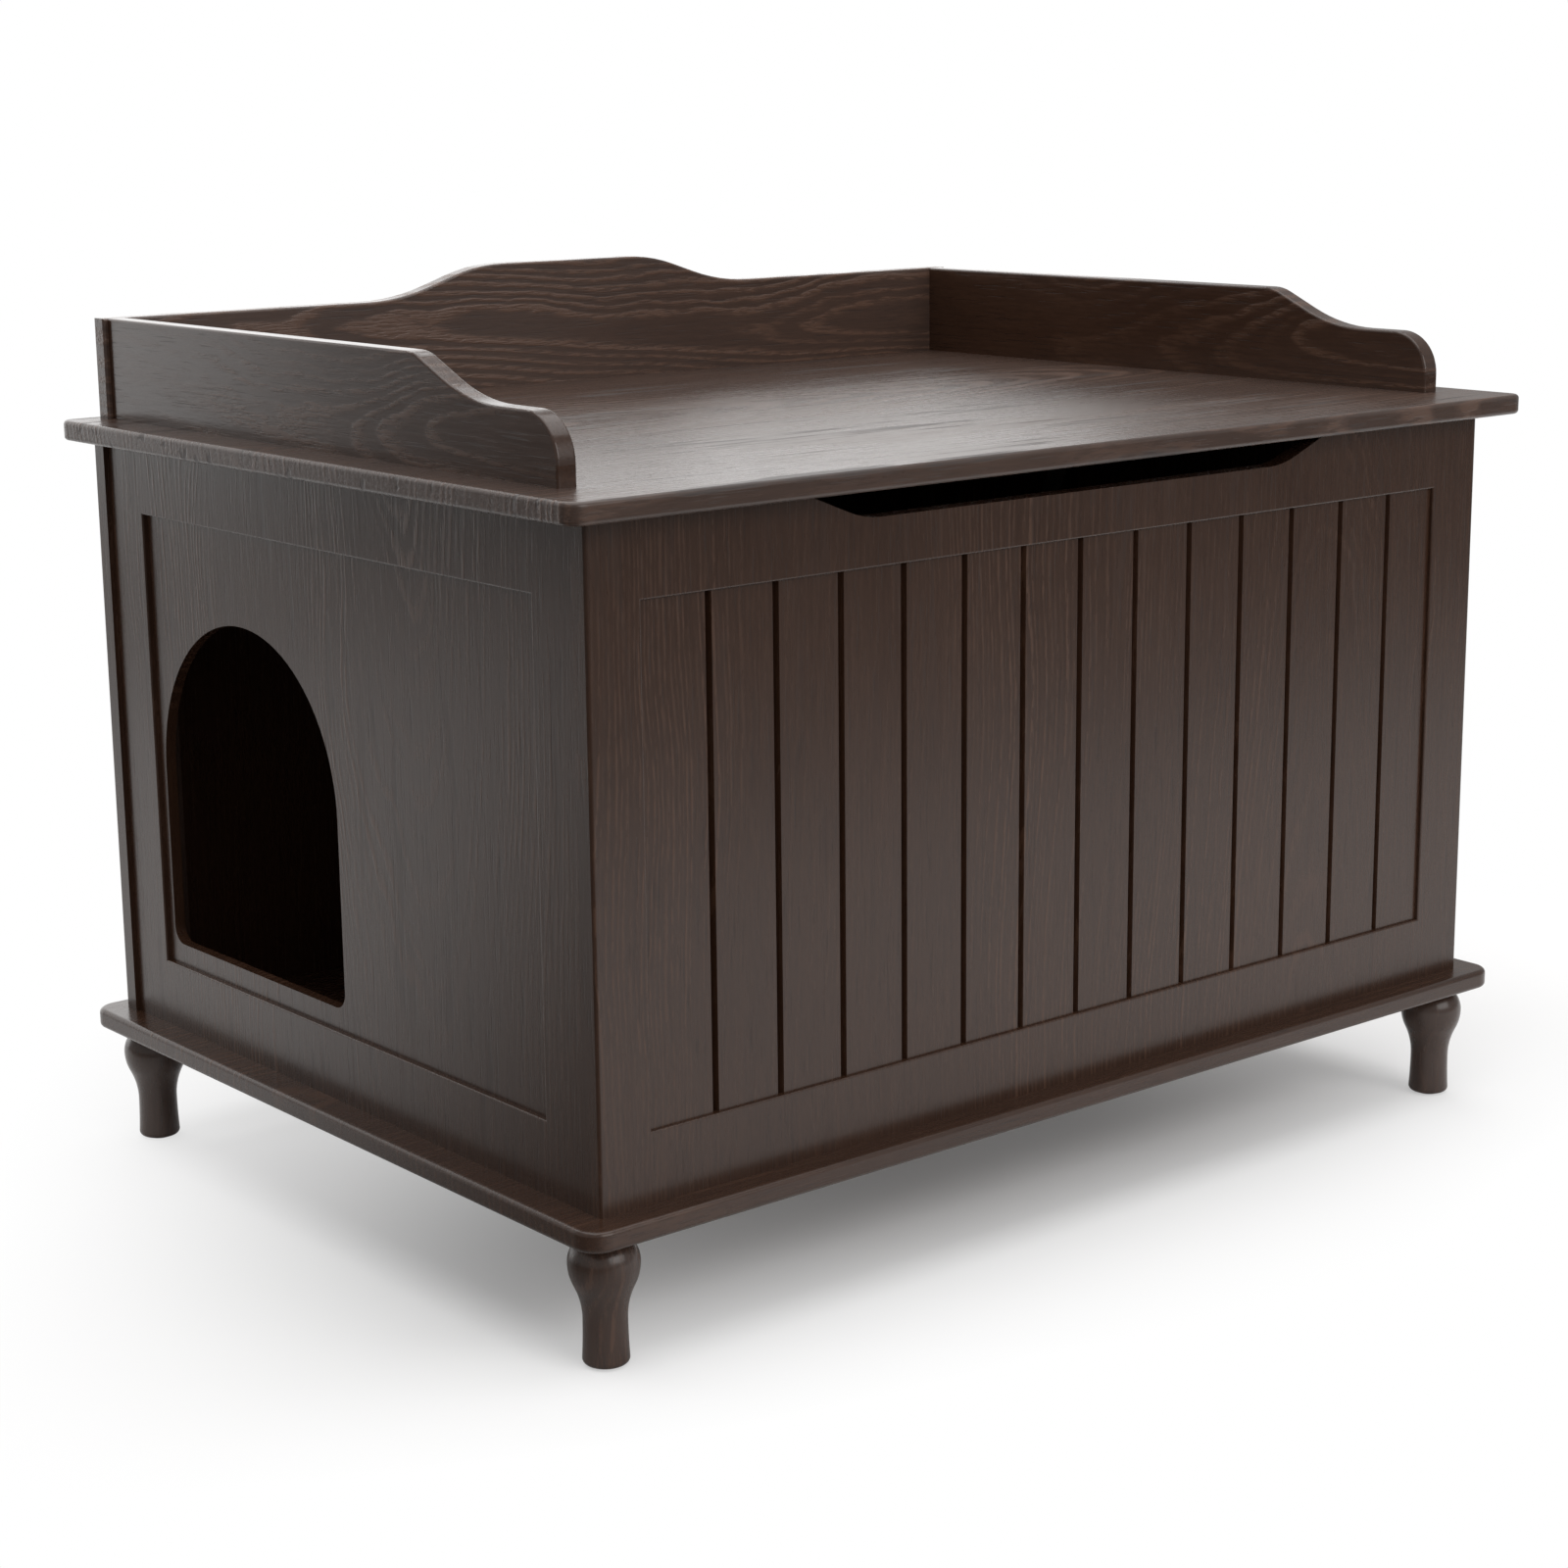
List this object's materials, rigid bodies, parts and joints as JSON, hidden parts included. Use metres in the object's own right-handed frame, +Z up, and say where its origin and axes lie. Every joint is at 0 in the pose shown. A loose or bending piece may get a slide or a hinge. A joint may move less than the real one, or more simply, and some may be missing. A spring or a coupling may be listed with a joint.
{
  "type": "litter box cabinet",
  "caption": "Dark wood cat litter box cabinet on four turned legs, with an arched cat door and a hinged lid carrying a scalloped gallery.",
  "frame": {"origin": "on the floor, under the middle of the overall length and depth", "axes": "+X to the right as seen from the front, -Y the front, +Z up"},
  "size_m": [0.734, 0.537, 0.537],
  "materials": {
    "dark_wood": "satin lacquer",
    "cleat_wood": "matte",
    "hinge_steel": "satin",
    "zinc_steel": "zinc plated",
    "nylon": "matte",
    "bumper_rubber": "matte"
  },
  "bodies": {
    "cabinet": {"base_board": "dark_wood", "front_panel": "dark_wood", "back_panel": "dark_wood", "left_side_panel": "dark_wood", "right_side_panel": "dark_wood", "front_left_leg": "dark_wood", "front_right_leg": "dark_wood", "rear_left_leg": "dark_wood", "rear_right_leg": "dark_wood", "front_left_cleat": "cleat_wood", "front_right_cleat": "cleat_wood", "rear_left_cleat": "cleat_wood", "rear_right_cleat": "cleat_wood", "leg_hanger_bolts": "zinc_steel", "leg_inserts": "zinc_steel", "floor_glides": "nylon", "base_screws": "zinc_steel", "cleat_screws": "zinc_steel", "left_hinge_fixed_leaf": "hinge_steel", "left_hinge_pin": "hinge_steel", "right_hinge_fixed_leaf": "hinge_steel", "right_hinge_pin": "hinge_steel", "hinge_case_screws": "zinc_steel", "stay_wall_plate": "hinge_steel", "stay_stud": "hinge_steel", "stay_wall_screws": "zinc_steel", "lid_bumpers": "bumper_rubber"},
    "lid": {"lid_board": "dark_wood", "back_rail": "dark_wood", "left_rail": "dark_wood", "right_rail": "dark_wood", "rail_screws": "zinc_steel", "left_hinge_lid_leaf": "hinge_steel", "right_hinge_lid_leaf": "hinge_steel", "hinge_lid_screws": "zinc_steel", "stay_lid_bracket": "hinge_steel", "stay_pivot_rivet": "hinge_steel", "stay_lid_screws": "zinc_steel"},
    "stay": {"stay_arm": "hinge_steel"}
  },
  "joints": [
    {"name": "lid_hinge", "type": "hinge", "parent": "cabinet", "child": "lid", "pos_m": [0, 0.2547, 0.4418], "axis": [-1, 0, 0], "range_deg": [0, 100]},
    {"name": "stay_pivot", "type": "hinge", "parent": "lid", "child": "stay", "pos_m": [0.3286, 0.08502, 0.43142], "axis": [-1, 0, 0], "range_deg": [-50, 0]}
  ],
  "couplings": [
    {"joint": "stay_pivot", "follows": "lid_hinge", "ratio": -0.5}
  ]
}
